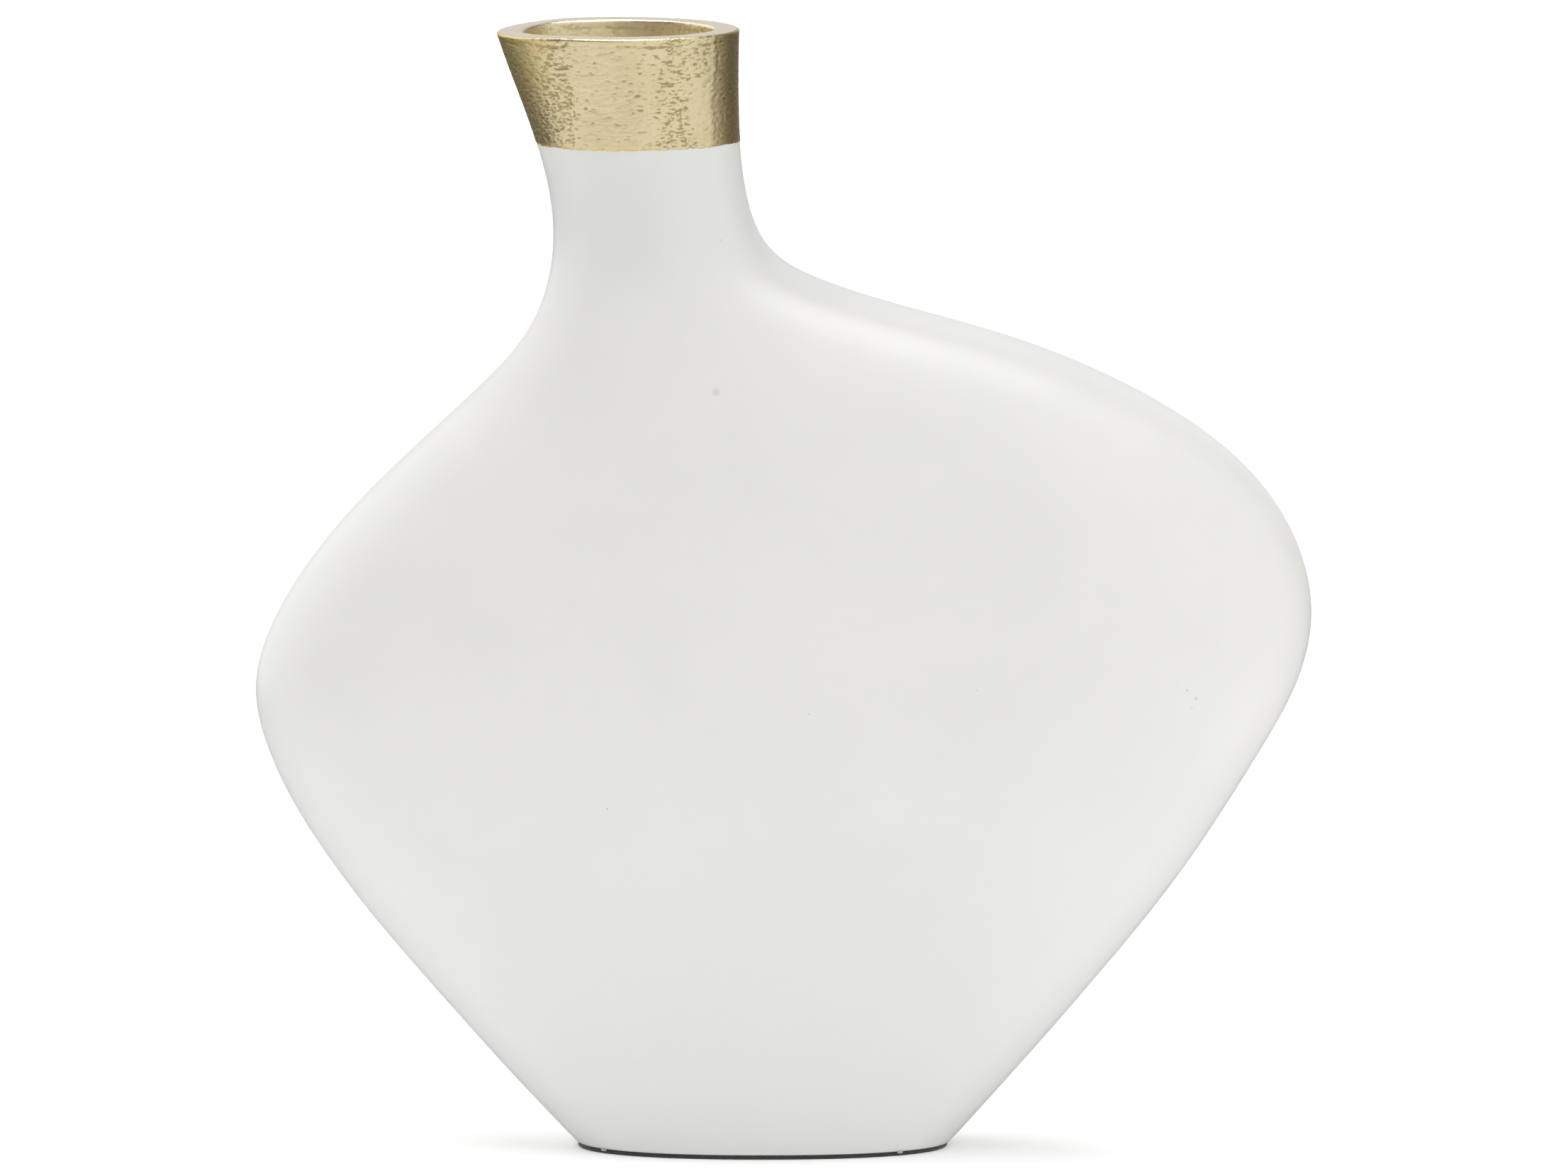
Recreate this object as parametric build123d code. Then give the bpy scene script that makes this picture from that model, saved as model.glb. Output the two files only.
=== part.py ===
from build123d import *

# A free-standing porcelain vase: a flattened, lopsided bottle with a short leaning neck and an oval mouth.
#
# The slip-cast body is one hollow piece with a wall of even thickness. A gold coat covers the top of the
# neck, inside and out, and lies flush with the white glaze below it. A felt pad is glued under the foot,
# and two beads of the glue stand out at the front edge of the foot.
#
# Millimetres, +Z up, +X towards the long shoulder, +Y towards the back. The origin is the centre of the
# foot, on the surface that the vase stands on. The vase is the same in front as behind.

import os
from math import atan2, cos, degrees, pi, sin

import numpy as np

# Driving dimensions
HEIGHT = 310.5          # from the surface to the rim
WALL = 6.6
FLOOR = 7.0             # porcelain above the pad
BAND = 31.0             # gold below the rim, inside and out
COAT = 0.4              # thickness of the gold
RIM_ROUND = 1.2         # radius of the rim's outer edge
LIP_ROUND = 0.9         # radius of the rim's inner edge
FOOT_ROUND = 0.6        # radius of the foot's lower edge
FLOOR_ROUND = 3.0       # radius where the inside of the wall meets the floor
PAD = 1.0               # thickness of the felt
PAD_INSET = 0.25        # felt short of the foot's edge
PAD_SHIFT = -0.2        # felt off centre, along X
GLUE = 0.15             # thickness of the glue film
GLUE_INSET = 1.4        # film short of the foot's edge
BEADS_X = (-44.0, 37.5)
BEAD_SIZE = (0.9, 0.6, 0.42)    # half its length, width and height

# The three sides of the vase's outside, as (distance from the Z axis, height). Each begins at the surface
# that the vase stands on and ends above the rim, where the form is cut off.
RUN_OUT = HEIGHT + 7.5
SHORT_SIDE = (          # seen from the front, towards -X
    (50.3, 0), (87.0, 40), (119.4, 80), (135.2, 108), (139.8, 129), (133.1, 150),
    (110.9, 180), (79.7, 210), (63.1, 230), (57.7, 252), (62.6, 280), (69.8, 300), (76.6, RUN_OUT),
)
LONG_SIDE = (           # seen from the front, towards +X
    (50.1, 0), (85.5, 40), (117.3, 80), (136.3, 110), (146.9, 130), (150.7, 147),
    (148.2, 164), (135.4, 186), (110.4, 206), (67.6, 225), (43.5, 232), (17.8, 240), (1.5, 250),
    (-5.3, 268), (-6.9, 290), (-6.3, RUN_OUT),
)
FLAT_SIDE = (           # seen from the end, towards -Y and +Y
    (24.0, 0), (35.0, 50), (42.6, 95), (45.0, 140), (42.0, 180), (34.4, 214),
    (26.4, 240), (23.4, 264), (24.8, 288), (28.2, RUN_OUT),
)
FOOT_SQUARENESS = 2.25  # exponent of the foot's superellipse
RIM_SQUARENESS = 2.0    # the mouth is an ellipse

# Heights of the lofted level outlines, closer together where the shoulder turns into the neck
BELLY_LEVELS = tuple(range(15, 200, 15))
SHOULDER_LEVELS = (208, 216, 222, 227, 231, 235, 239, 243, 248)
NECK_LEVELS = (254, 262, 272, 284, 296)

SIDE_STEPS = 600        # straight steps that a side is divided into
OUTLINE_POINTS = 32     # points on a level outline

SEAT = PAD + GLUE       # underside of the foot
BAND_BOTTOM = HEIGHT - BAND


def side_line(points):
    """Close points along one side, each with the unit normal that points into the vase."""
    curve = Spline(*points)
    rows = []
    for step in range(SIDE_STEPS + 1):
        place, heading = curve @ (step / SIDE_STEPS), curve % (step / SIDE_STEPS)
        rows.append((place.X, place.Y, -heading.Y, heading.X))
    return np.array(rows).T


SIDES = [side_line(points) for points in (SHORT_SIDE, LONG_SIDE, FLAT_SIDE)]


def reach(side, height, inset):
    """How far a side is from the Z axis at a height, once the side is moved into the vase by inset."""
    out, up, normal_out, normal_up = side
    return float(np.interp(height, up + inset * normal_up, out + inset * normal_out))


def outline_point(height, inset, turn):
    """The point of a level outline at a part of a turn from +Y, at the back, as (x, y)."""
    short, long, half_depth = (reach(side, height, inset) for side in SIDES)
    power = FOOT_SQUARENESS + (RIM_SQUARENESS - FOOT_SQUARENESS) * height / HEIGHT
    x, y = -sin(2 * pi * turn), cos(2 * pi * turn)
    size = (abs(x) ** power + abs(y) ** power) ** (-1 / power)
    return (long - short) / 2 + (long + short) / 2 * size * x, half_depth * size * y


def outline(height, inset=0.0):
    """The level outline at a height, moved into the vase by inset, as a face in the XY plane."""
    points = [outline_point(height, inset, i / OUTLINE_POINTS) for i in range(OUTLINE_POINTS)]
    return make_face(Spline(*points, periodic=True))


def form(inset, bottom, top):
    """The solid inside the vase's surface, moved inwards by inset, between two heights."""
    levels = [z for z in BELLY_LEVELS + SHOULDER_LEVELS + NECK_LEVELS if z > bottom + 2]
    whole = loft([Pos(0, 0, z) * outline(z, inset) for z in (bottom, *levels, RUN_OUT)])
    return split(whole, Plane.XY.offset(top), keep=Keep.BOTTOM)


def bottle(outer_inset, inner_inset, top, rim_round, lip_round):
    """The vase as one hollow solid, with its foot, its floor and its rim rounded."""
    outside = form(outer_inset, SEAT, top)
    outside = fillet(outside.edges().group_by(Axis.Z)[0], FOOT_ROUND)
    outside = fillet(outside.edges().group_by(Axis.Z)[-1], rim_round)
    hollow = form(inner_inset, SEAT + FLOOR, RUN_OUT)
    hollow = fillet(hollow.edges().group_by(Axis.Z)[0], FLOOR_ROUND)
    solid = outside - hollow
    lip = solid.edges().group_by(Axis.Z)[-1].sort_by(SortBy.LENGTH)[0]
    return fillet(lip, lip_round)


def gold_and_porcelain():
    """The gold coat over the top of the neck, and the body with the coat's thickness left free."""
    vase = bottle(0, WALL, HEIGHT, RIM_ROUND, LIP_ROUND)
    core = bottle(COAT, WALL - COAT, HEIGHT - COAT, RIM_ROUND - COAT, LIP_ROUND - COAT)
    gold = split(vase, Plane.XY.offset(BAND_BOTTOM), keep=Keep.TOP) - core
    return gold, vase - gold


def felt_pad():
    """The pad under the foot, glued on a little off centre."""
    return Pos(PAD_SHIFT, 0, 0) * extrude(outline(SEAT, PAD_INSET), PAD)


def glue_film():
    """The film of glue between the felt and the foot."""
    return Pos(0, 0, PAD) * extrude(outline(SEAT, GLUE_INSET), GLUE)


def glue_bead(x):
    """A bead of glue across the front edge of the foot at an x."""
    turns = [0.25 + 0.5 * step / SIDE_STEPS for step in range(SIDE_STEPS)]
    before = min(turns, key=lambda turn: abs(outline_point(SEAT, 0, turn)[0] - x))
    (x0, y0), (x1, y1) = (outline_point(SEAT, 0, turn) for turn in (before, before + 1 / SIDE_STEPS))
    bead = scale(Sphere(1), by=BEAD_SIZE)
    return Pos(x0, y0, PAD + GLUE / 2) * Rot(0, 0, degrees(atan2(y1 - y0, x1 - x0))) * bead


def main():
    os.makedirs("parts", exist_ok=True)
    gold, porcelain = gold_and_porcelain()
    felt, film = felt_pad(), glue_film()
    beads = [glue_bead(x) - porcelain - felt - film for x in BEADS_X]
    export_step(porcelain, "parts/porcelain_body.step")
    export_step(gold, "parts/gold_neck_band.step")
    export_step(film, "parts/glue_film.step")
    export_step(Compound(children=beads), "parts/glue_beads.step")
    export_step(felt, "parts/felt_pad.step")


main()
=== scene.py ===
"""The looks of the porcelain vase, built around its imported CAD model.

Metres, in the CAD model's frame: +Z up, -Y towards the camera, the origin at the foot's centre.
The tables of form and finish below are in millimetres, unless they say otherwise.
"""

import math

import bpy
import numpy as np
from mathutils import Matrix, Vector, noise


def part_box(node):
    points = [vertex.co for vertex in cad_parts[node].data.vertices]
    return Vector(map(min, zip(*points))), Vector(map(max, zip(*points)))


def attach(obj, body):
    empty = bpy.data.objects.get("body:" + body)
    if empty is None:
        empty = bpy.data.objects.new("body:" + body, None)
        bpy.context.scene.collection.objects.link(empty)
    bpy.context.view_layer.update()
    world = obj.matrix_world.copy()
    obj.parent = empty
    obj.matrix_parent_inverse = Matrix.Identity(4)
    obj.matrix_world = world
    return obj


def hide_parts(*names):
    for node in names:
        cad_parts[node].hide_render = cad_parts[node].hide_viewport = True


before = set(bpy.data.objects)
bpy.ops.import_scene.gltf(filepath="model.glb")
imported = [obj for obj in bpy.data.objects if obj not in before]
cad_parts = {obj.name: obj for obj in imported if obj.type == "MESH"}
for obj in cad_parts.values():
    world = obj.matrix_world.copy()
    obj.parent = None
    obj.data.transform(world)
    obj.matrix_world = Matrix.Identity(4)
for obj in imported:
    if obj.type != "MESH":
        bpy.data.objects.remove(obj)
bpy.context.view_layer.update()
MM = 0.001

# ---- The vase's form, the same as in the CAD model ----

BAND_LOW, BAND_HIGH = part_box("gold_neck_band")
BODY_LOW, BODY_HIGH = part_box("porcelain_body")
HEIGHT = BAND_HIGH.z / MM
SEAT = BODY_LOW.z / MM
BAND_BOTTOM = BAND_LOW.z / MM
BAND = HEIGHT - BAND_BOTTOM
COAT = HEIGHT - BODY_HIGH.z / MM

# The three sides as (distance from the Z axis, height). They run on past the rim, so that their
# curves are smooth there.
RUN_OUT = HEIGHT + 7.5
SHORT_SIDE = (
    (50.3, 0), (87.0, 40), (119.4, 80), (135.2, 108), (139.8, 129), (133.1, 150), (110.9, 180),
    (79.7, 210), (63.1, 230), (57.7, 252), (62.6, 280), (69.8, 300), (76.6, RUN_OUT),
)
LONG_SIDE = (
    (50.1, 0), (85.5, 40), (117.3, 80), (136.3, 110), (146.9, 130), (150.7, 147), (148.2, 164),
    (135.4, 186), (110.4, 206), (67.6, 225), (43.5, 232), (17.8, 240), (1.5, 250), (-5.3, 268),
    (-6.9, 290), (-6.3, RUN_OUT),
)
FLAT_SIDE = (
    (24.0, 0), (35.0, 50), (42.6, 95), (45.0, 140), (42.0, 180), (34.4, 214), (26.4, 240),
    (23.4, 264), (24.8, 288), (28.2, RUN_OUT),
)
# Every level section is a superellipse: its power at the foot and at the rim
FOOT_SQUARENESS = 2.25
RIM_SQUARENESS = 2.0
WALL = 6.6
FLOOR = 7.0
RIM_ROUND = 0.9         # the outer edge of the rim
LIP_ROUND = 0.9         # its inner edge
FOOT_ROUND = 0.6
FLOOR_ROUND = 3         # where the wall meets the floor inside
FINE_STEPS = 4000
OCTAVE_SHIFT = 17.3


def smooth_side(points, steps=900):
    """Distances, heights and inward normals along a cubic curve through the points of a side."""
    knots = np.array(points, float)
    chords = np.linalg.norm(np.diff(knots, axis=0), axis=1)
    slopes = np.diff(knots, axis=0) / chords[:, None]
    count = len(knots)
    system, right = np.eye(count), np.zeros((count, 2))
    right[0] = slopes[0] + (slopes[0] - slopes[1]) * chords[0] / (chords[0] + chords[1])
    right[-1] = slopes[-1] + (slopes[-1] - slopes[-2]) * chords[-1] / (chords[-1] + chords[-2])
    for i in range(1, count - 1):
        before, after = chords[i - 1], chords[i]
        system[i, i - 1:i + 2] = after, 2 * (before + after), before
        right[i] = 3 * (after * slopes[i - 1] + before * slopes[i])
    tangents = np.linalg.solve(system, right)
    starts = np.concatenate([[0], np.cumsum(chords)])
    along = np.linspace(0, starts[-1], steps)
    piece = np.clip(np.searchsorted(starts, along, "right") - 1, 0, count - 2)
    length = chords[piece][:, None]
    t = (along - starts[piece])[:, None] / length
    place = ((2 * t**3 - 3 * t**2 + 1) * knots[piece]
             + (t**3 - 2 * t**2 + t) * length * tangents[piece]
             + (3 * t**2 - 2 * t**3) * knots[piece + 1]
             + (t**3 - t**2) * length * tangents[piece + 1])
    heading = np.gradient(place, axis=0)
    heading /= np.linalg.norm(heading, axis=1)[:, None]
    return place[:, 0], place[:, 1], -heading[:, 1], heading[:, 0]


SIDES = [smooth_side(points) for points in (SHORT_SIDE, LONG_SIDE, FLAT_SIDE)]


def reach(side, height, inset):
    """How far a side is from the Z axis at each height, once it is moved inwards by inset."""
    out, up, normal_out, normal_up = side
    moved = height - inset * np.interp(height, up, normal_up)
    return np.interp(moved, up, out) + inset * np.interp(moved, up, normal_out)


def level_points(height, inset, turn, shrink=1.0):
    """Points in metres on the form, moved in by inset, by height and part of a turn from +Y."""
    short, long, half_depth = (reach(side, height, inset) for side in SIDES)
    power = FOOT_SQUARENESS + (RIM_SQUARENESS - FOOT_SQUARENESS) * height / HEIGHT
    x, y = -np.sin(2 * np.pi * turn), np.cos(2 * np.pi * turn)
    size = shrink * (np.abs(x) ** power + np.abs(y) ** power) ** (-1 / power)
    across = (long - short) / 2 + (long + short) / 2 * size * x
    return np.stack([across, half_depth * size * y, height + 0 * across], axis=-1) * MM


def turns(columns):
    """The part of a turn at each column of a grid."""
    return np.arange(columns)[None, :] / columns


def grid_normals(grid):
    """Unit normals of a grid of points, rows by columns, whose columns go once round."""
    along = np.gradient(grid, axis=0)
    round_it = np.roll(grid, -1, axis=1) - np.roll(grid, 1, axis=1)
    normals = np.cross(round_it, along)
    return normals / np.maximum(np.linalg.norm(normals, axis=2, keepdims=True), 1e-12)


def noise_field(points, octaves=1, gain=0.5):
    """Smooth noise, about -1 to 1, at an array of points given in noise lengths."""
    flat = points.reshape(-1, 3)
    total = np.zeros(len(flat))
    for octave in range(octaves):
        scaled = flat * 2.0**octave + OCTAVE_SHIFT * octave
        total += gain**octave * np.array([noise.noise(Vector(p)) for p in scaled.tolist()])
    return total.reshape(points.shape[:-1])


def tube_mesh(name, grid, closed_rows=False, start_point=None, end_point=None):
    """A mesh of quads over a grid of points, closed along its columns and, if asked, its rows."""
    rows, columns = grid.shape[:2]
    points = grid.reshape(-1, 3).tolist()
    row = np.arange(rows if closed_rows else rows - 1)[:, None]
    column = np.arange(columns)[None, :]
    beside, above = (column + 1) % columns, (row + 1) % rows
    corners = [row * columns + column, row * columns + beside,
               above * columns + beside, above * columns + column]
    faces = np.stack(np.broadcast_arrays(*corners), axis=-1).reshape(-1, 4).tolist()
    ring = range(columns)
    if start_point is not None:
        points.append(list(start_point))
        faces += [[len(points) - 1, (i + 1) % columns, i] for i in ring]
    if end_point is not None:
        points.append(list(end_point))
        last = (rows - 1) * columns
        faces += [[len(points) - 1, last + i, last + (i + 1) % columns] for i in ring]
    mesh = bpy.data.meshes.new(name)
    mesh.from_pydata(points, [], faces)
    mesh.polygons.foreach_set("use_smooth", [True] * len(mesh.polygons))
    mesh.update()
    piece = bpy.data.objects.new(name, mesh)
    bpy.context.scene.collection.objects.link(piece)
    return piece


def store(piece, name, values):
    """Keeps one number for each point of a piece's mesh, for its material to read."""
    attribute = piece.data.attributes.new(name, "FLOAT", "POINT")
    padded = np.zeros(len(piece.data.vertices), np.float32)
    padded[:values.size] = values.ravel()
    attribute.data.foreach_set("value", padded)


def even_heights(bottom, top, count):
    """Heights from bottom to top, spaced evenly along whichever side moves most."""
    fine = np.linspace(bottom, top, FINE_STEPS)
    steps = np.max([np.abs(np.diff(reach(side, fine, 0.0))) for side in SIDES[:2]], axis=0)
    lengths = np.concatenate([[0], np.cumsum(np.hypot(steps, np.diff(fine)))])
    return np.interp(np.linspace(0, lengths[-1], count), lengths, fine)


def quarter(count):
    """Steps round a quarter circle, without its two ends, as (1 - sine, 1 - cosine)."""
    angles = np.linspace(0, math.pi / 2, count + 2)[1:-1]
    return [(1 - math.sin(a), 1 - math.cos(a)) for a in angles]


# ---- Porcelain body ----

BODY_COLUMNS = 280
WALL_ROWS = 236
INSIDE_ROWS = 56
NECK_ROWS = 9           # of the neck under the gold, on each side
UNDER_COAT = 0.9        # how deep the neck steps back under the gold, as a share of the coat
GLAZE_END = 1.5         # the glaze ends this far above the gold's lower edge
OUTER_STEP = 2.2        # the neck has stepped back this far above it outside
INNER_STEP = 2.5        # and this far inside
UNDERSIDE = (0.2, 0.4, 0.6, 0.8, 0.93)      # rings of the underside, as shares of its size
FLOOR_RINGS = (1.0, 0.8, 0.6, 0.4, 0.2)
RIM_DIP = 0.85          # how much lower the rim is at its short end
DIP_FROM_X = -54.4
DIP_LENGTH = 18.7
DIP_MOST = 1.1
DIP_HEIGHT = 22.0       # the neck is even again this far below the rim
ROLL_IN = 0.55          # how far the short end of the rim is rolled in
SWELL = 0.11            # unevenness of the glazed surface
SWELL_LENGTH = 42.0
SWELL_FROM = 2          # it begins this far above the foot
SWELL_RISE = 20         # and is full this much higher


def dip_rim(grid):
    """Points of the neck with the short end of the rim rolled down and in a little."""
    towards_end = np.clip((DIP_FROM_X - grid[:, :, 0] / MM) / DIP_LENGTH, 0, DIP_MOST)
    near_rim = np.clip(1 - (HEIGHT - grid[:, :, 2] / MM) / DIP_HEIGHT, 0, 1)
    dipped = grid.copy()
    dipped[:, :, 2] -= RIM_DIP * MM * towards_end * near_rim
    dipped[:, :, 0] += ROLL_IN * MM * towards_end * near_rim**2
    return dipped


def body_profile():
    """Rows of (height, inset, shrink) from under the foot, up the outside and down the inside."""
    under = COAT * UNDER_COAT
    top = HEIGHT - under
    inner = WALL - under
    floor = SEAT + FLOOR
    rows = [(SEAT, FOOT_ROUND, share) for share in (*UNDERSIDE, 1.0)]
    rows += [(SEAT + FOOT_ROUND * c, FOOT_ROUND * s, 1) for s, c in quarter(3)]
    outside = even_heights(SEAT + FOOT_ROUND, BAND_BOTTOM + GLAZE_END, WALL_ROWS)
    rows += [(z, 0, 1) for z in outside]
    neck = np.linspace(BAND_BOTTOM + OUTER_STEP, top - RIM_ROUND, NECK_ROWS)
    rows += [(z, under, 1) for z in neck]
    rows += [(top - RIM_ROUND * s, under + RIM_ROUND * c, 1) for s, c in quarter(3)]
    rows += [(top, inset, 1) for inset in np.linspace(under + RIM_ROUND, inner - LIP_ROUND, 4)]
    rows += [(top - LIP_ROUND * c, inner - LIP_ROUND * s, 1) for s, c in quarter(3)]
    neck = np.linspace(top - LIP_ROUND, BAND_BOTTOM + INNER_STEP, NECK_ROWS)
    rows += [(z, inner, 1) for z in neck]
    inside = even_heights(floor + FLOOR_ROUND, BAND_BOTTOM + GLAZE_END, INSIDE_ROWS)
    rows += [(z, WALL, 1) for z in inside[::-1]]
    rows += [(floor + FLOOR_ROUND * s, WALL + FLOOR_ROUND * c, 1) for s, c in quarter(4)]
    rows += [(floor, WALL + FLOOR_ROUND, share) for share in FLOOR_RINGS]
    return np.array(rows)


def porcelain_body():
    """The glazed body: an even form with the slight swells of a hand-finished cast."""
    height, inset, shrink = body_profile().T[:, :, None]
    grid = dip_rim(level_points(height, inset, turns(BODY_COLUMNS), shrink))
    above_foot = np.clip((height - SEAT - SWELL_FROM) / SWELL_RISE, 0, 1)
    outside = above_foot * (inset == 0) * (height < BAND_BOTTOM)
    swell = noise_field(grid / (SWELL_LENGTH * MM), octaves=2)
    grid = grid + grid_normals(grid) * (SWELL * MM * swell * outside)[:, :, None]
    middle = grid[0].mean(axis=0), grid[-1].mean(axis=0)
    piece = tube_mesh("vase_body", grid, start_point=middle[0], end_point=middle[1])
    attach(piece, "root")
    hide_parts("porcelain_body")
    return piece


# ---- Gold band ----

GOLD_COLUMNS = 470
GOLD_ROWS = 120         # of its outside, and below of its rim, its inside and each hidden face
GOLD_RIM_ROWS = 9
GOLD_INSIDE_ROWS = 46
GOLD_HIDDEN_ROWS = 8
GOLD_PROUD = 0.12       # how far the gold stands out of the glaze
WRINKLE = 0.14          # depth of its creases where the relief is 1
EDGE_RELIEF = 0.5       # relief at the lower edge, which rises to 1
RELIEF_RISE = 6         # over about this height
ROUND_RELIEF, RIM_RELIEF, LIP_RELIEF, INSIDE_RELIEF = 0.5, 0.06, 0.3, 0.8
# Rows of its lower edge outside: (height above the edge, inset, relief)
LOWER_EDGE = ((0.0, 0.25, 0), (0.0, 0.0, 0), (0.12, -0.7 * GOLD_PROUD, 0.2))
INNER_EDGE = (0.05, 0.2)        # how far the lower edge inside is let into the wall, row by row
OUTSIDE_FROM, INSIDE_TO, HIDDEN_TO = 0.35, 0.4, 1   # where even rows stop above the lower edge
EASE_IN = 0.45, 0.55            # how the rows inside spread out on the way down
CREASED_FROM = 0.1              # creases get painted shade where the relief is more than this

# How the brushed edge strays from its mean height: (height, waves round the neck)
EDGE_STRAYS = ((0.7, 1.2), (0.28, 9), (0.3, 26))
OUTER_EDGE_SEED, INNER_EDGE_SEED = 3.0, 8.0
INNER_STRAY = 1.6       # the edge inside is this much more ragged
INSIDE_LIFT = 4         # keeps the ochre line of the edge off the inside

# Noise in the gold: (length round the neck, length up the neck, offset)
WANDER = (9, 12, 7)
CREASES = (2.4, 1.1, 0)
PITS = (1.7, 0.5, 41)
LUMPS = (1.7, 1.0, 20)
LINES = (2.1, 0.62, 60)
GRAIN = (0.62, 0.62, 90)
GIRTH_AT = 15.0         # the neck's girth is taken this far below the rim

# Zones that are creased like leather: (middle along X, strength)
LEATHERY_ZONES = ((-57, 0.95), (-23, 1.0))
ZONE_WIDTH = 6
ZONE_WANDER = 3
PLAIN, LEATHERY_WANDER, LEAST_LEATHERY = 0.12, 0.45, 0.06
# A low ridge down the band and the lap under its rim, and how far noise moves each of them
RIDGE_X, RIDGE_WIDTH, RIDGE_WANDER, RIDGE_RAGGED = -14.2, 0.75, 1.4, 0.8
LAP_BELOW_RIM, LAP_WIDTH, LAP_WANDER = 2.3, 0.45, 0.5
LAP_SHOWN = 0.4, 1.2            # how much of the lap shows, and how much more with the noise
FOLD_SHARPNESS, LINE_SHARPNESS = 5.0, 4.5
DENT_FROM, DENT_GAIN = 0.13, 2.4
PLAIN_DENTS, PLAIN_LINES = 0.5, 0.55    # how strong dents and lines are between the zones
FOLD_DEPTH, DENT_DEPTH, LINE_DEPTH, LAP_DEPTH = 0.9, 0.6, 0.3, 0.9
MOST_CREASED = 1.15
GRAIN_HEIGHT, LUMP_HEIGHT, RIDGE_HEIGHT = 0.22, 0.35, 0.9


def gold_profile():
    """Rows of (share of the band, depth below the rim, inset, relief), once round the coat."""
    rows = [(1.0, BAND - up, inset, relief) for up, inset, relief in LOWER_EDGE]
    for z in np.linspace(BAND - OUTSIDE_FROM, RIM_ROUND, GOLD_ROWS):
        rows.append((z / BAND, z, -GOLD_PROUD, min(1, EDGE_RELIEF + (BAND - z) / RELIEF_RISE)))
    for s, c in quarter(5):
        rows.append((0, RIM_ROUND * s, -GOLD_PROUD + (RIM_ROUND + GOLD_PROUD) * c, ROUND_RELIEF))
    for inset in np.linspace(RIM_ROUND, WALL - LIP_ROUND, GOLD_RIM_ROWS):
        rows.append((0, 0, inset, RIM_RELIEF))
    for s, c in quarter(4):
        rows.append((0, LIP_ROUND * c, WALL - LIP_ROUND * s, LIP_RELIEF))
    for step in np.linspace(0, 1, GOLD_INSIDE_ROWS):
        eased = EASE_IN[0] * step + EASE_IN[1] * step**2
        z = LIP_ROUND + (BAND - INSIDE_TO - LIP_ROUND) * eased
        rows.append((-z / BAND, z, WALL, INSIDE_RELIEF))
    rows += [(-1.0, BAND, WALL - depth, 0) for depth in INNER_EDGE]
    for z in np.linspace(BAND - HIDDEN_TO, COAT + LIP_ROUND, GOLD_HIDDEN_ROWS):
        rows.append((-z / BAND, z, WALL - COAT, 0))
    rows += [(0, COAT, WALL - COAT - LIP_ROUND, 0), (0, COAT, COAT + RIM_ROUND, 0)]
    for z in np.linspace(COAT + RIM_ROUND, BAND - HIDDEN_TO, GOLD_HIDDEN_ROWS):
        rows.append((z / BAND, z, COAT, 0))
    return np.array(rows)


def gold_edge(turn, seed):
    """How far the brushed edge of the gold strays from its mean height, in millimetres."""
    around = 2 * np.pi * turn
    circle = np.stack([np.cos(around), np.sin(around), 0 * turn + seed], axis=-1)
    return sum(height * noise_field(circle * waves) for height, waves in EDGE_STRAYS)


def band_about(place, middle, width):
    """1 at the middle of a zone, fading to 0 on both sides."""
    return np.exp(-(((place - middle) / width) ** 2))


def thin_lines(values, sharpness):
    """1 where a noise crosses 0, falling to 0 on both sides."""
    return np.clip(1 - np.abs(values) * sharpness, 0, 1)


def neck_noise(place, lengths, octaves=1, gain=0.5):
    """Noise over the neck, by its length round the neck, its length up it and its offset."""
    round_it, up, offset = lengths
    return noise_field(place / (round_it, round_it, up) + offset, octaves, gain)


def gold_wrinkles(grid, turn):
    """Relief of the gold at every point, about -1 at the bottom of a crease."""
    rim = level_points(np.array([HEIGHT - GIRTH_AT]), 0.0, turn[0])
    girth = np.linalg.norm(np.diff(rim, axis=0, append=rim[:1]), axis=1).sum() / MM
    radius = girth / (2 * np.pi)
    around = 2 * np.pi * turn
    x, height = grid[:, :, 0] / MM, grid[:, :, 2] / MM
    place = np.stack([
        radius * np.cos(around) + 0 * height, radius * np.sin(around) + 0 * height, height,
    ], axis=-1)
    wander = neck_noise(place, WANDER)
    leathery = PLAIN
    for middle, strength in LEATHERY_ZONES:
        zone = band_about(x, middle + ZONE_WANDER * wander, ZONE_WIDTH)
        leathery = leathery + strength * zone
    leathery = np.clip(leathery + LEATHERY_WANDER * wander, LEAST_LEATHERY, 1)
    creases = neck_noise(place, CREASES, octaves=2, gain=0.6)
    folds = thin_lines(creases, FOLD_SHARPNESS)
    dents = np.clip(neck_noise(place, PITS) - DENT_FROM, 0, 1) * DENT_GAIN
    lines = thin_lines(neck_noise(place, LINES), LINE_SHARPNESS)
    creased = (FOLD_DEPTH * folds * leathery + DENT_DEPTH * dents * (PLAIN_DENTS + leathery)
               + LINE_DEPTH * lines * (PLAIN_LINES + leathery))
    lap = band_about(HEIGHT - height, LAP_BELOW_RIM + LAP_WANDER * wander, LAP_WIDTH)
    lap = lap * np.clip(LAP_SHOWN[0] + LAP_SHOWN[1] * wander, 0, 1)
    ridge_x = RIDGE_X + RIDGE_WANDER * wander + RIDGE_RAGGED * creases
    ridge = band_about(x, ridge_x, RIDGE_WIDTH)
    raised = (GRAIN_HEIGHT * neck_noise(place, GRAIN) + LUMP_HEIGHT * neck_noise(place, LUMPS)
              + RIDGE_HEIGHT * ridge)
    return raised - np.minimum(creased, MOST_CREASED) - LAP_DEPTH * lap


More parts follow.
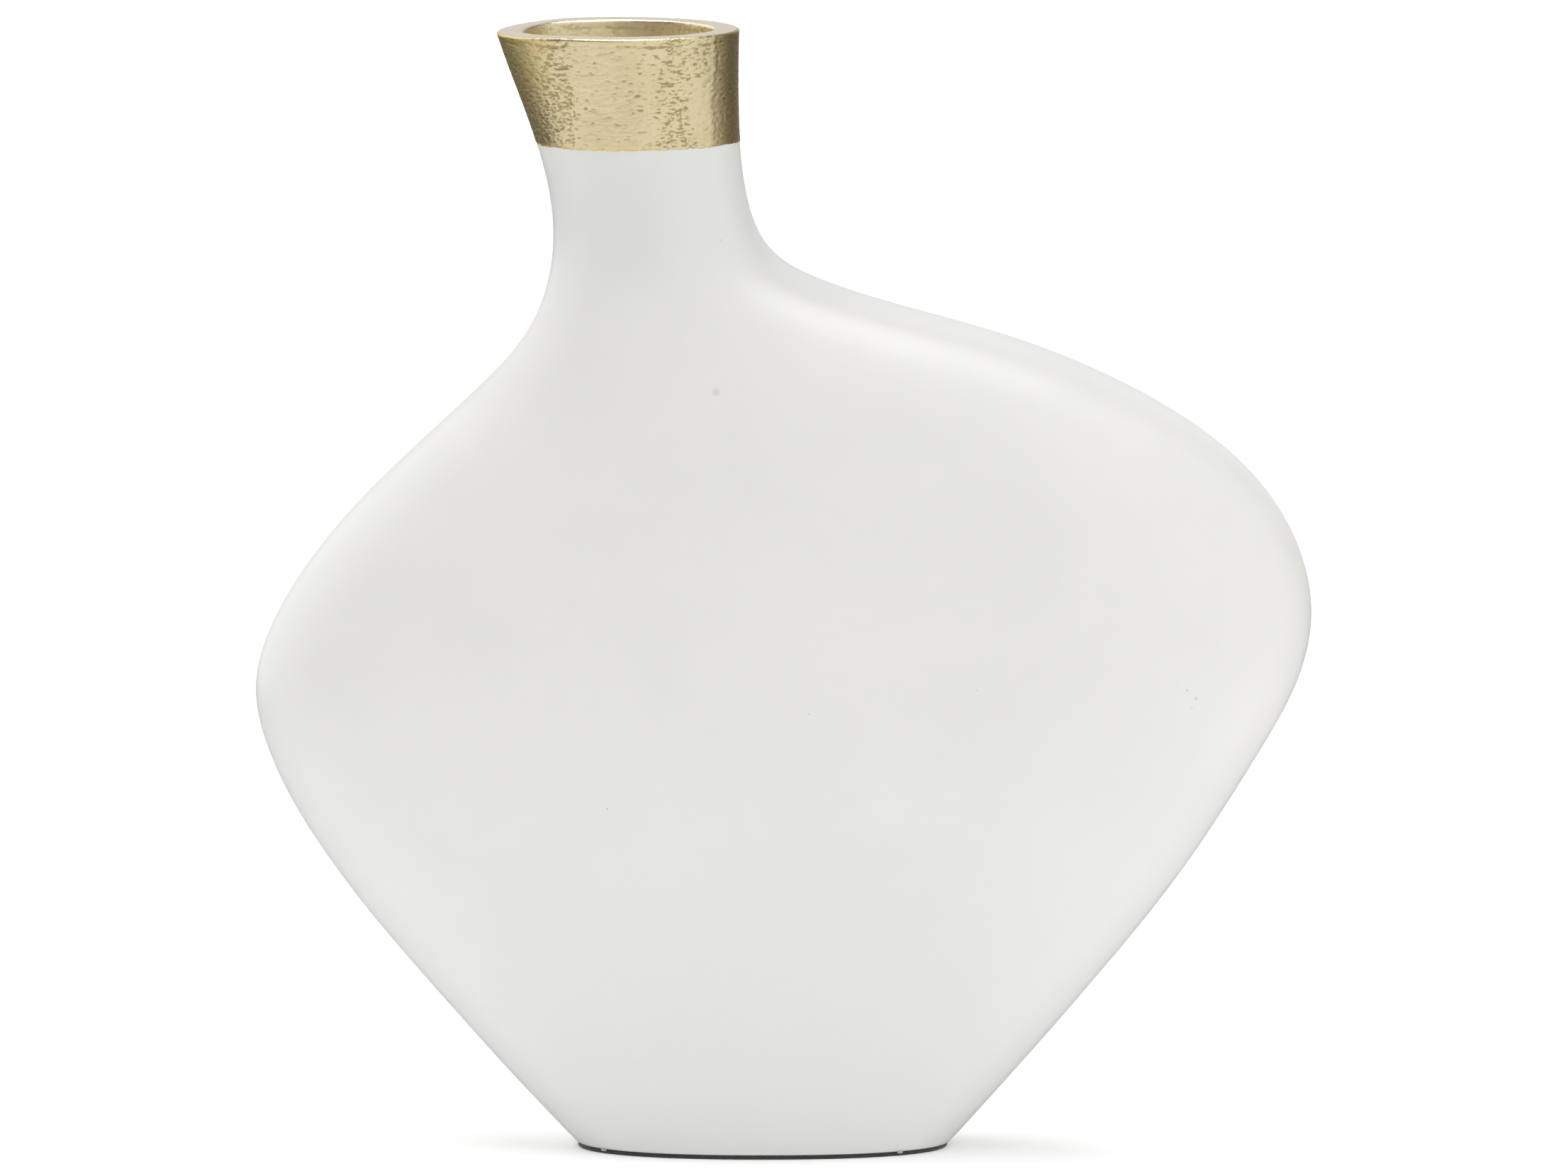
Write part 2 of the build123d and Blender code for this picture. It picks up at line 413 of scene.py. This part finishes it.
def gold_neck_band():
    """The gold coat over the neck: creases and pits, a lapped rim and a ragged brushed edge."""
    share, below, inset, relief = gold_profile().T[:, :, None]
    turn = turns(GOLD_COLUMNS)
    stray = np.where(share > 0, gold_edge(turn, OUTER_EDGE_SEED),
                     INNER_STRAY * gold_edge(turn, INNER_EDGE_SEED))
    height = HEIGHT - below + stray * np.abs(share) ** 3
    grid = level_points(height, inset + 0 * turn, turn)
    wrinkles = gold_wrinkles(grid, turn)
    grid = dip_rim(grid)
    grid = grid + grid_normals(grid) * (WRINKLE * MM * relief * wrinkles)[:, :, None]
    piece = tube_mesh("gold_band", grid, closed_rows=True)
    lift = np.where(share > 0, 0, INSIDE_LIFT)
    store(piece, "above_edge", (1 - np.abs(share)) * BAND + 0 * turn + lift)
    store(piece, "rim", (share == 0) * (inset > RIM_ROUND * 0.5) + 0 * turn)
    store(piece, "inside", (share < 0) + 0 * turn)
    # How deep each point lies in a crease or the lap, where the gold's material paints shade
    store(piece, "crease", np.clip(-wrinkles, 0, 1) * (relief > CREASED_FROM))
    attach(piece, "root")
    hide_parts("gold_neck_band")
    return piece


# ---- Felt pad ----

PAD_COLUMNS = 420
PAD_INSET = 0.25
PAD_SHIFT = -0.2        # the pad sits a little off centre
PAD_EDGE = 0.22         # softness of the felt's edges
PAD_RINGS = (0.25, 0.5, 0.75, 0.9)      # of its two faces, as shares of its size
# Its edge from the bottom up: (share of its thickness, share of the softness)
PAD_SIDE = (
    (0, 1), (0.08, 0.35), (0.25, 0), (0.42, 0), (0.58, 0), (0.75, 0), (0.92, 0.35), (1, 1),
)
FUR = 0.09
FUR_LENGTH = 0.8
FINE_FUR, FINE_FUR_LENGTH, FINE_FUR_OFFSET = 0.6, 0.35, 5


def felt_pad():
    """The felt under the foot, with a soft, slightly furred edge."""
    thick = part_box("felt_pad")[1].z / MM
    rows = [(0, PAD_EDGE, share) for share in PAD_RINGS]
    rows += [(thick * level, PAD_EDGE * soft, 1) for level, soft in PAD_SIDE]
    rows += [(thick, PAD_EDGE, share) for share in PAD_RINGS[::-1]]
    height, inset, shrink = np.array(rows).T[:, :, None]
    turn = turns(PAD_COLUMNS)
    grid = level_points(SEAT + 0 * height, inset + PAD_INSET, turn, shrink)
    grid[:, :, 2] = (height + 0 * turn) * MM
    grid[:, :, 0] += PAD_SHIFT * MM
    edge = (shrink == 1) * (height > 0) * (height < thick)
    fur = noise_field(grid / (FUR_LENGTH * MM))
    fur = fur + FINE_FUR * noise_field(grid / (FINE_FUR_LENGTH * MM) + FINE_FUR_OFFSET)
    grid = grid + grid_normals(grid) * (FUR * MM * fur * edge)[:, :, None]
    middle = grid[0].mean(axis=0), grid[-1].mean(axis=0)
    piece = tube_mesh("felt", grid, start_point=middle[0], end_point=middle[1])
    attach(piece, "root")
    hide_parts("felt_pad")
    return piece


# ---- Materials ----

class Nodes:
    """Short names for building one node tree."""

    def __init__(self, tree):
        self.tree = tree
        tree.nodes.clear()

    def add(self, kind, inputs=None, **settings):
        """A node with its settings, and with values or links for its inputs, by name or place."""
        node = self.tree.nodes.new(kind)
        for key, value in settings.items():
            setattr(node, key, value)
        for key, value in (inputs or {}).items():
            if isinstance(value, bpy.types.NodeSocket):
                self.tree.links.new(value, node.inputs[key])
            else:
                node.inputs[key].default_value = value
        return node

    def place(self):
        """Where a point is, in the vase's own frame."""
        return self.add("ShaderNodeTexCoord").outputs["Object"]

    def axes(self, vector):
        """The three parts of a vector."""
        return self.add("ShaderNodeSeparateXYZ", {0: vector}).outputs

    def attribute(self, name):
        """A number kept with the points of the mesh."""
        return self.add("ShaderNodeAttribute", attribute_name=name).outputs["Fac"]

    def math(self, operation, a, b=0.0):
        """One sum with numbers or links."""
        return self.add("ShaderNodeMath", {0: a, 1: b}, operation=operation).outputs[0]

    def ramp(self, value, low, high, low_to=0.0, high_to=1.0):
        """A value carried smoothly from one range to another."""
        inputs = {0: value, 1: low, 2: high, 3: low_to, 4: high_to}
        return self.add("ShaderNodeMapRange", inputs, interpolation_type="SMOOTHSTEP").outputs[0]

    def noise(self, place, scale, detail=2.0, roughness=0.5):
        """Noise of about 0 to 1."""
        inputs = {"Vector": place, "Scale": scale, "Detail": detail, "Roughness": roughness}
        return self.add("ShaderNodeTexNoise", inputs).outputs["Fac"]

    def mix(self, share, a, b):
        """A mix of two colours, each a link or three numbers."""
        a, b = (end if isinstance(end, bpy.types.NodeSocket) else (*end, 1) for end in (a, b))
        return self.add("ShaderNodeMix", {0: share, 6: a, 7: b}, data_type="RGBA").outputs[2]

    def bump(self, height, distance, strength=1.0, normal=None):
        """A normal tilted by a height."""
        inputs = {"Height": height, "Distance": distance, "Strength": strength}
        if normal is not None:
            inputs["Normal"] = normal
        return self.add("ShaderNodeBump", inputs).outputs[0]


GLAZE_TONES = (0.805, 0.799, 0.775), (0.828, 0.821, 0.796)
# Painted shade: the white neck below the gold is painted darker
NECK_PAINTED_SHADE = (0.728, 0.725, 0.705)
# Painted shade: a cooler, slightly darker grey towards the foot
FOOT_PAINTED_SHADE = (0.790, 0.790, 0.785)
# The tone of the specks, and of the painted shadows of two small pits
SPECK_AND_PIT_SHADOW_TONE = (0.33, 0.31, 0.28)
# Fades, here and below: (from, to) in metres, and the share of the tone before and after
NECK_SHADE_FADE = (0.225, 0.262, 0.0, 0.85)
FOOT_SHADE_FADE = (0.02, 0.15, 0.8, 0.0)
GLAZE_ROUGHNESS = (0.285, 0.335)
# Noise, here and below: (lengths in a metre, detail, roughness)
GLAZE_CLOUDS, GLAZE_WAVES, GLAZE_PEBBLES = (22.0, 3.0), (160.0,), (760.0, 2.0, 0.55)
WAVE_BUMP, PEBBLE_BUMP = (0.00012, 0.5), (0.00003, 0.6)     # depth in metres, strength

GOLD_TONES = (0.85, 0.73, 0.45), (0.91, 0.795, 0.51)
GROUND_TONE = (0.52, 0.40, 0.19)
# Painted shade in the creases
CREASE_SHADE_TONE = (0.36, 0.26, 0.10)
# Painted shade at the two ends of the neck
SHORT_END_SHADE_TONE = (0.76, 0.58, 0.20)
LONG_END_SHADE_TONE = (0.52, 0.37, 0.13)
EDGE_TONE = (0.80, 0.58, 0.19)
RIM_TONE = (0.86, 0.77, 0.61)
SHORT_END_FADE = (-0.066, -0.056, 1.0, 0.0)     # along X
LONG_END_FADE = (-0.017, -0.009, 0.0, 1.0)
EDGE_LINE_FADE = (-0.036, -0.024, 1.0, 0.25)    # the ochre line is fainter at the long end
END_SHARE = 0.6                                 # how much of an end's painted shade is mixed in
GOLD_ROUGHNESS = (0.30, 0.46)
GOLD_GRAIN, GOLD_PATCHES, GOLD_WANDER = (2600.0, 3.0, 0.6), (140.0, 3.0, 0.6), (330.0,)
GRAIN_BUMP = 0.00007

FELT_TONES = (0.018, 0.017, 0.016), (0.075, 0.070, 0.066)
TUFT_TONE = (0.05, 0.047, 0.044)
GLUE_TONES = (0.86, 0.86, 0.82), (0.93, 0.93, 0.91)
PAPER_TONES = (0.90, 0.90, 0.895), (0.915, 0.915, 0.91)
PAPER_GLOW = 0.26

# Small faults in the glaze on the front, the first two painted shadows of small pits, the rest dark
# specks: (place along X, height, radius, darkness)
SPECKS_AND_PIT_SHADOWS = (
    (-13.0, 214.4, 1.5, 0.22), (-42.7, 100.6, 0.45, 0.4), (12.3, 127.3, 0.35, 0.35),
    (58.1, 133.4, 0.35, 0.3), (115.9, 131.5, 0.5, 0.3), (118.4, 129.0, 0.6, 0.3),
    (117.2, 126.6, 0.4, 0.3), (-11.7, 254.2, 0.7, 0.12),
)
MARK_CORE = 0.35       # the share of a fault's radius that is fully dark


def material(name, build):
    """A material whose one shader is a Principled BSDF with the inputs that build gives."""
    made = bpy.data.materials.new(name)
    made.use_nodes = True
    nodes = Nodes(made.node_tree)
    shader = nodes.add("ShaderNodeBsdfPrincipled", build(nodes))
    nodes.add("ShaderNodeOutputMaterial", {"Surface": shader.outputs[0]})
    return made


def specks_and_pit_shadows(nodes, place):
    """Darkness of the glaze's small faults at a place: dark specks, and the painted shadows of two
    small pits.
    """
    front = nodes.math("LESS_THAN", nodes.axes(place)[1], 0.0)
    inputs = {0: place, 1: (1, 0, 1)}
    level = nodes.add("ShaderNodeVectorMath", inputs, operation="MULTIPLY").outputs[0]
    dark = 0.0
    for x, z, radius, darkness in SPECKS_AND_PIT_SHADOWS:
        inputs = {0: level, 1: (x * MM, 0, z * MM)}
        away = nodes.add("ShaderNodeVectorMath", inputs, operation="DISTANCE").outputs[1]
        share = nodes.ramp(away, radius * MM * MARK_CORE, radius * MM, darkness, 0.0)
        dark = nodes.math("ADD", share, dark)
    return nodes.math("MULTIPLY", dark, front)


def glaze(nodes):
    """Satin white glaze: slightly mottled and pebbled, with a few specks, painted shadows in two
    small pits, painted shade on the neck below the gold and painted shade towards the foot.
    """
    place = nodes.place()
    cloud = nodes.noise(place, *GLAZE_CLOUDS)
    height = nodes.axes(place)[2]
    colour = nodes.mix(nodes.ramp(cloud, 0.35, 0.65), *GLAZE_TONES)
    # Painted shade on the neck below the gold
    colour = nodes.mix(nodes.ramp(height, *NECK_SHADE_FADE), colour, NECK_PAINTED_SHADE)
    # Painted shade towards the foot
    colour = nodes.mix(nodes.ramp(height, *FOOT_SHADE_FADE), colour, FOOT_PAINTED_SHADE)
    # Specks, and the painted shadows of two small pits
    colour = nodes.mix(specks_and_pit_shadows(nodes, place), colour, SPECK_AND_PIT_SHADOW_TONE)
    waves = nodes.noise(place, *GLAZE_WAVES)
    pebbles = nodes.noise(place, *GLAZE_PEBBLES)
    return {
        "Base Color": colour,
        "Roughness": nodes.ramp(waves, 0.3, 0.7, *GLAZE_ROUGHNESS),
        "Normal": nodes.bump(pebbles, *PEBBLE_BUMP, nodes.bump(waves, *WAVE_BUMP)),
        "IOR": 1.5,
    }


def gold(nodes):
    """Pale gold on a wrinkled ground, with painted shade in its creases and at the two ends of the
    neck, a paler rim and an ochre edge.
    """
    place = nodes.place()
    x = nodes.axes(place)[0]
    rim, edge, crease, inside = map(nodes.attribute, ("rim", "above_edge", "crease", "inside"))
    short_end = nodes.ramp(x, *SHORT_END_FADE)
    long_end = nodes.ramp(x, *LONG_END_FADE)
    grain = nodes.noise(place, *GOLD_GRAIN)
    patch = nodes.noise(place, *GOLD_PATCHES)
    wander = nodes.noise(place, *GOLD_WANDER)

    colour = nodes.mix(nodes.ramp(patch, 0.3, 0.7), *GOLD_TONES)
    colour = nodes.mix(nodes.ramp(grain, 0.30, 0.48, 0.4, 0.0), colour, GROUND_TONE)
    # Painted shade in the creases, weaker on the inside
    dark = nodes.ramp(inside, 0.0, 1.0, 0.75, 0.3)
    colour = nodes.mix(nodes.ramp(crease, 0.25, 0.85, 0.0, dark), colour, CREASE_SHADE_TONE)
    # Painted shade at the two ends of the neck
    colour = nodes.mix(nodes.math("MULTIPLY", short_end, END_SHARE), colour, SHORT_END_SHADE_TONE)
    colour = nodes.mix(nodes.math("MULTIPLY", long_end, END_SHARE), colour, LONG_END_SHADE_TONE)
    colour = nodes.mix(rim, colour, RIM_TONE)
    ragged = nodes.math("ADD", edge, nodes.ramp(wander, 0.3, 0.7, -0.3, 0.3))
    line = nodes.math("MULTIPLY", nodes.ramp(ragged, 0.2, 0.5, 1.0, 0.0),
                      nodes.ramp(x, *EDGE_LINE_FADE))

    rough = nodes.math("SUBTRACT", nodes.ramp(grain, 0.3, 0.7, *GOLD_ROUGHNESS),
                       nodes.math("MULTIPLY", rim, 0.08))
    ends = nodes.math("ADD", short_end, nodes.math("MULTIPLY", long_end, 0.4))
    rugged = nodes.math("ADD", 0.7, nodes.math("MULTIPLY", ends, 1.1))
    strength = nodes.math("MULTIPLY", rugged, nodes.ramp(rim, 0.0, 1.0, 1.0, 0.15))
    metal = 1.0
    for part, less in ((rim, 0.1), (inside, 0.3), (line, 0.4)):
        metal = nodes.math("SUBTRACT", metal, nodes.math("MULTIPLY", part, less))
    return {
        "Base Color": nodes.mix(line, colour, EDGE_TONE),
        "Metallic": metal,
        "Roughness": rough,
        "Normal": nodes.bump(grain, GRAIN_BUMP, strength),
    }


def felt(nodes):
    """Dark grey pressed felt."""
    place = nodes.place()
    fibres = nodes.noise(place, 2400.0, 4.0, 0.7)
    tufts = nodes.noise(place, 420.0)
    colour = nodes.mix(nodes.ramp(fibres, 0.3, 0.7), *FELT_TONES)
    return {
        "Base Color": nodes.mix(nodes.ramp(tufts, 0.35, 0.7, 0.0, 0.5), colour, TUFT_TONE),
        "Roughness": nodes.ramp(fibres, 0.2, 0.8, 0.85, 1.0),
        "Normal": nodes.bump(fibres, 0.0002, 0.9),
        "Sheen Weight": 0.4,
        "Sheen Roughness": 0.5,
    }


def clear_glue(nodes):
    """Set glue, clear and slightly cloudy."""
    cloud = nodes.noise(nodes.place(), 1800.0)
    return {
        "Base Color": nodes.mix(nodes.ramp(cloud, 0.3, 0.7), *GLUE_TONES),
        "Roughness": nodes.ramp(cloud, 0.3, 0.7, 0.08, 0.16),
        "Transmission Weight": 0.5,
        "IOR": 1.48,
    }


def floor_paper(nodes):
    """Plain pale paper, with a glow that stands for the lamps on it."""
    fibre = nodes.noise(nodes.place(), 60.0, 3.0)
    return {
        "Base Color": nodes.mix(nodes.ramp(fibre, 0.3, 0.7), *PAPER_TONES),
        "Roughness": 0.95,
        "Emission Color": (1, 1, 1, 1),
        "Emission Strength": PAPER_GLOW,
    }


# ---- Studio ----

FLOOR_RADIUS = 60.0     # metres
FLOOR_SIDES = 96
CAMERA_AIM = Vector((5.58, 0.0, 155.44)) * MM
CAMERA_DISTANCE = 5.0   # metres
CAMERA_ELEVATION = math.radians(8.4)
CAMERA_SEES = 200       # metres
LENS = 417.3

# Soft boxes: azimuth range, elevation range, softness in azimuth and in elevation, all in degrees,
# and brightness. Azimuth 0 is the front, 90 the side of the long shoulder and -90 that of the short
# one. The last two are the glow of the bright paper below, as the gold and the glaze mirror it.
SOFT_BOXES = (
    ((-150, -76), (-6, 60), (6, 6), 1.1),
    ((0, 100), (-6, 60), (8, 8), 0.76),
    ((-76, 0), (-6, 20), (6, 6), 0.12),
    ((-400, -150), (-4, 40), (6, 6), 0.6),
    ((145, 400), (-4, 40), (6, 6), 0.6),
    ((-400, 400), (60, 120), (6, 6), 2.62),
    ((-98, 24), (-80, -6), (6, 10), 0.84),
    ((24, 92), (-80, -6), (6, 10), 0.79),
)
SURROUND = (0.1, 0.1, 0.1)


def studio_floor():
    """A wide pale floor that the camera sees and that throws light up, kept out of the gloss."""
    angles = [2 * math.pi * i / FLOOR_SIDES for i in range(FLOOR_SIDES)]
    ring = [(FLOOR_RADIUS * math.cos(a), FLOOR_RADIUS * math.sin(a), 0) for a in angles]
    mesh = bpy.data.meshes.new("floor")
    mesh.from_pydata(ring, [], [list(range(FLOOR_SIDES))])
    mesh.materials.append(material("floor_paper", floor_paper))
    floor = bpy.data.objects.new("floor", mesh)
    bpy.context.scene.collection.objects.link(floor)
    floor.visible_glossy = False


def studio_light():
    """Large soft boxes all round and overhead, in a dim room, as the world's light."""
    world = bpy.data.worlds.new("studio")
    bpy.context.scene.world = world
    world.use_nodes = True
    nodes = Nodes(world.node_tree)
    x, y, z = nodes.axes(nodes.add("ShaderNodeTexCoord").outputs["Generated"])
    azimuth = nodes.math("DEGREES", nodes.math("ARCTAN2", x, nodes.math("MULTIPLY", y, -1.0)))
    elevation = nodes.math("DEGREES", nodes.math("ARCSINE", z))
    light = SURROUND
    for across, up, soft, brightness in SOFT_BOXES:
        glow = brightness
        for angle, (low, high), blur in ((azimuth, across, soft[0]), (elevation, up, soft[1])):
            glow = nodes.math("MULTIPLY", glow, nodes.ramp(angle, low - blur, low + blur))
            fall = nodes.ramp(angle, high - blur, high + blur, 1.0, 0.0)
            glow = nodes.math("MULTIPLY", glow, fall)
        light = nodes.add("ShaderNodeVectorMath", {0: light, 1: glow}, operation="ADD").outputs[0]
    shader = nodes.add("ShaderNodeBackground", {0: light}).outputs[0]
    nodes.add("ShaderNodeOutputWorld", {0: shader})


def camera():
    """The camera at the picture's viewing angle."""
    lens = bpy.data.cameras.new("camera")
    lens.lens = LENS
    lens.clip_end = CAMERA_SEES
    eye = bpy.data.objects.new("camera", lens)
    back = Vector((0, -math.cos(CAMERA_ELEVATION), math.sin(CAMERA_ELEVATION)))
    eye.location = CAMERA_AIM + back * CAMERA_DISTANCE
    eye.rotation_mode = "QUATERNION"
    eye.rotation_quaternion = (-back).to_track_quat("-Z", "Y")
    bpy.context.scene.collection.objects.link(eye)
    bpy.context.scene.camera = eye


# ---- The vase ----

porcelain_body().data.materials.append(material("white_glaze", glaze))
gold_neck_band().data.materials.append(material("gold", gold))
felt_pad().data.materials.append(material("felt", felt))
glue = material("clear_glue", clear_glue)
for node in ("glue_film", "glue_beads"):
    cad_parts[node].data.materials.clear()
    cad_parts[node].data.materials.append(glue)

studio_floor()
studio_light()
camera()
bpy.context.scene.view_settings.view_transform = "Standard"
